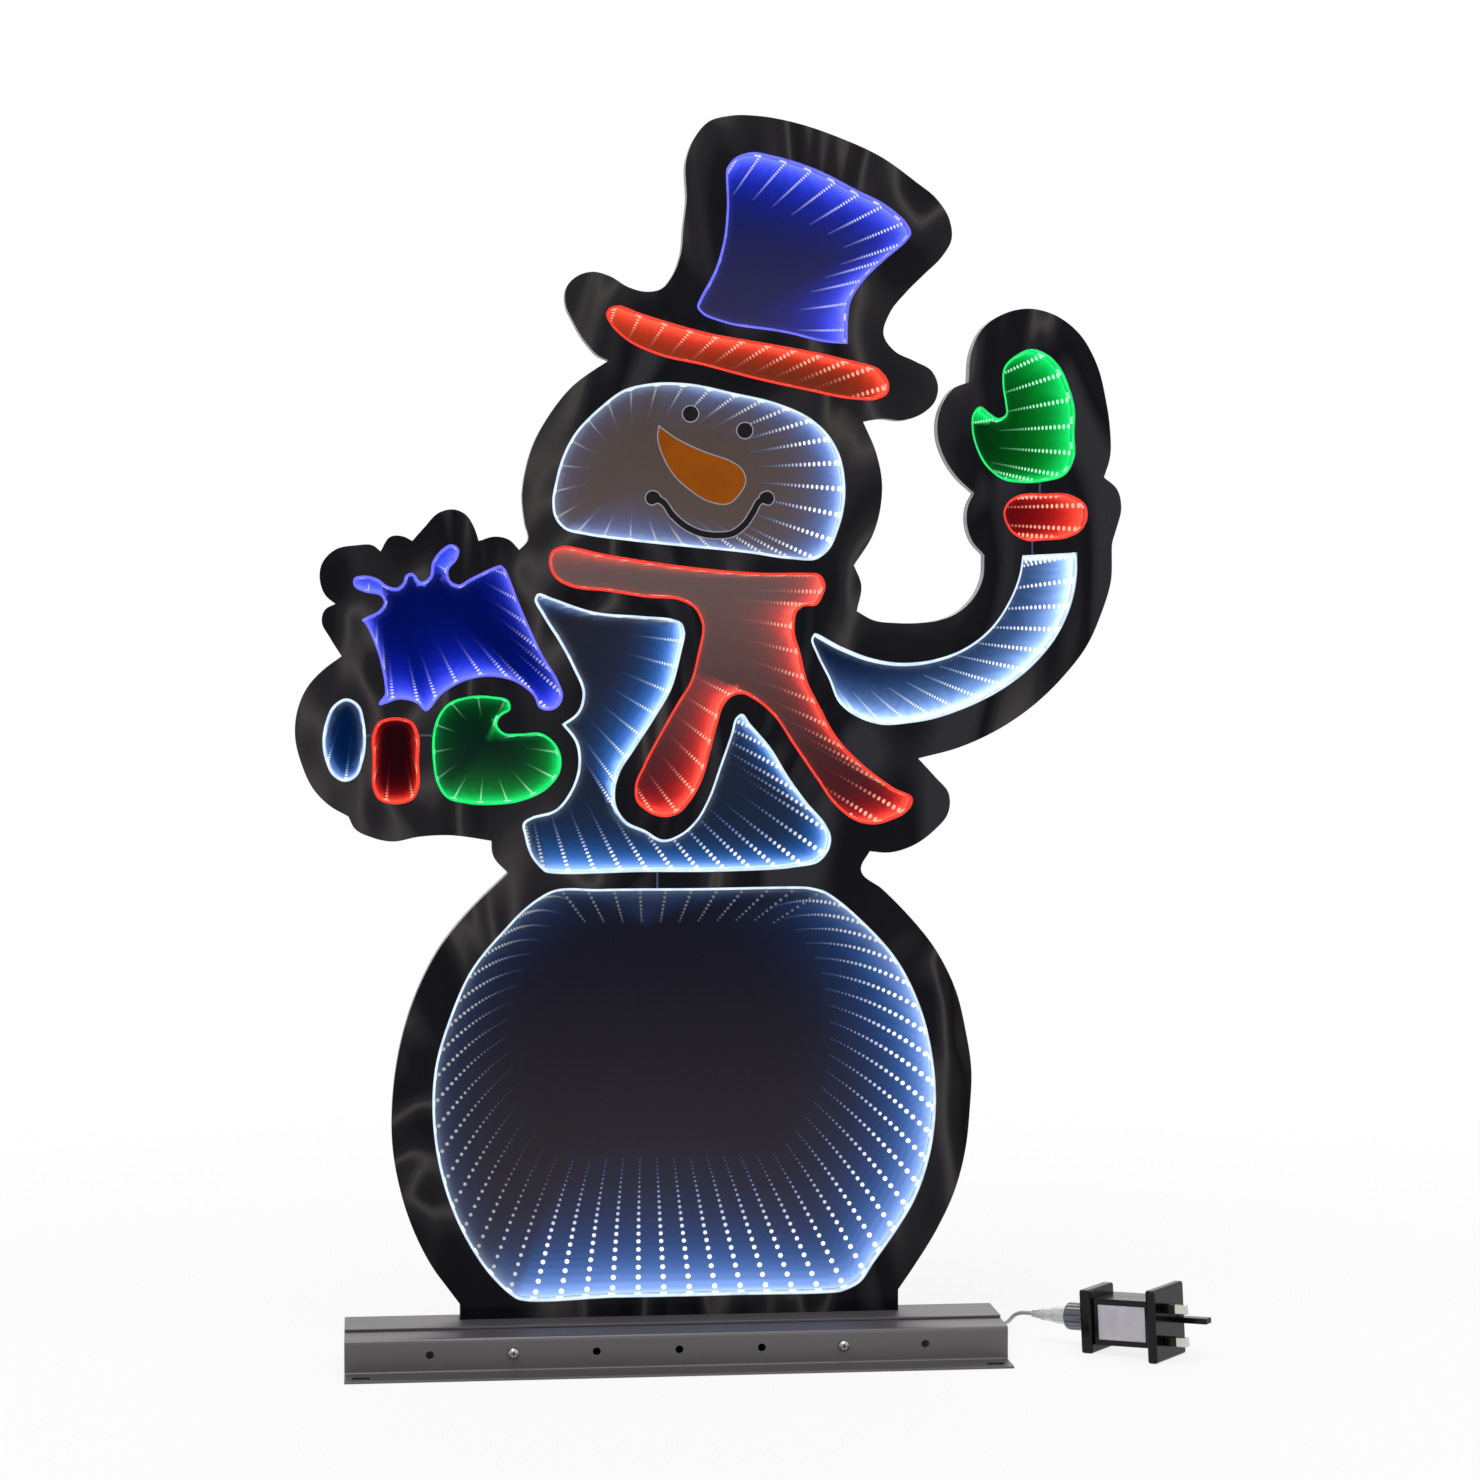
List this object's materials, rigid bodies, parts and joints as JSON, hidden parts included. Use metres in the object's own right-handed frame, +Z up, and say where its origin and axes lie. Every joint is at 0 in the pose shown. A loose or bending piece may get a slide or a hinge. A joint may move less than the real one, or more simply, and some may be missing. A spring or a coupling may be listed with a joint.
{
  "type": "light-up snowman panel",
  "caption": "Free-standing flat snowman silhouette, an infinity-mirror light with coloured LED windows on a folded metal base, with its low-voltage lead and plug-in adapter.",
  "frame": {"origin": "bottom centre of the panel and base together, without the lead and adapter, on the surface they stand on", "axes": "+X to the viewer's right, +Y away from the viewer, +Z up; the lit front faces -Y"},
  "size_m": [0.6211, 0.2089, 0.8488],
  "materials": {
    "smoked_sheet": "smoked half-mirror acrylic",
    "core_board": "light grey foamed board, routed",
    "rear_sheet": "mirror acrylic with a dark painted back",
    "blue_strip": "flexible LED strip, blue",
    "red_strip": "flexible LED strip, red",
    "green_strip": "flexible LED strip, green",
    "white_strip": "flexible LED strip, cool white",
    "wire": "insulated wire",
    "black_trim": "thin black sheet",
    "orange_trim": "thin amber sheet",
    "rail": "satin aluminium sheet",
    "fastener": "zinc plated steel",
    "black_plastic": "gloss black moulding",
    "cord": "clear PVC twin cord",
    "tie": "white strap",
    "clear_moulding": "clear PVC moulding",
    "seal": "flat rubber ring",
    "grey_collar": "grey ribbed moulding",
    "pin": "nickel plated brass, half sleeved in black",
    "label": "bare silver film",
    "board": "circuit board",
    "transformer": "wound ferrite core"
  },
  "bodies": {
    "snowman": {"front_mirror": "smoked_sheet", "spacer_core": "core_board", "rear_mirror": "rear_sheet", "led_strip_hat": "blue_strip", "led_strip_brim": "red_strip", "led_strip_face": "white_strip", "led_strip_scarf": "red_strip", "led_strip_torso": "white_strip", "led_strip_right_arm": "white_strip", "led_strip_right_cuff": "red_strip", "led_strip_right_mitten": "green_strip", "led_strip_gift": "blue_strip", "led_strip_left_mitten": "green_strip", "led_strip_left_cuff": "red_strip", "led_strip_left_wrist": "white_strip", "led_strip_body": "white_strip", "jumper_hat_brim": "wire", "jumper_brim_face": "wire", "jumper_face_scarf": "wire", "jumper_scarf_torso": "wire", "jumper_torso_body": "wire", "jumper_scarf_arm": "wire", "jumper_arm_cuff": "wire", "jumper_cuff_mitten": "wire", "jumper_torso_gift": "wire", "jumper_gift_mitten": "wire", "jumper_mitten_cuff": "wire", "jumper_cuff_wrist": "wire", "feed_wire": "wire", "left_eye": "black_trim", "right_eye": "black_trim", "nose": "orange_trim", "mouth": "black_trim", "base_front_rail": "rail", "base_rear_rail": "rail", "clamp_screw_left": "fastener", "clamp_screw_right": "fastener", "clamp_nut_left": "fastener", "clamp_nut_right": "fastener", "cable_gland": "black_plastic", "cord_run": "cord", "cord_coil": "cord", "cord_lead": "cord", "coil_tie": "tie", "strain_relief": "clear_moulding", "connector_body": "clear_moulding", "sealing_ring": "seal"},
    "collar": {"collar_nut": "grey_collar"},
    "adapter": {"adapter_spigot": "black_plastic", "end_plate": "black_plastic", "case_front": "black_plastic", "case_rear": "black_plastic", "pin_plate": "black_plastic", "pin_live": "pin", "pin_neutral": "pin", "earth_pin": "black_plastic", "blank_label": "label", "circuit_board": "board", "transformer": "transformer"}
  },
  "joints": [
    {"name": "collar_turn", "type": "hinge", "parent": "snowman", "child": "collar", "pos_m": [0.25359, -0.00494, 0.02145], "axis": [0.7648, -0.6418, 0.0562], "continuous": true},
    {"name": "adapter_pull", "type": "slide", "parent": "snowman", "child": "adapter", "axis": [0.7648, -0.6418, 0.0562], "range_m": [0, 0.016]}
  ]
}
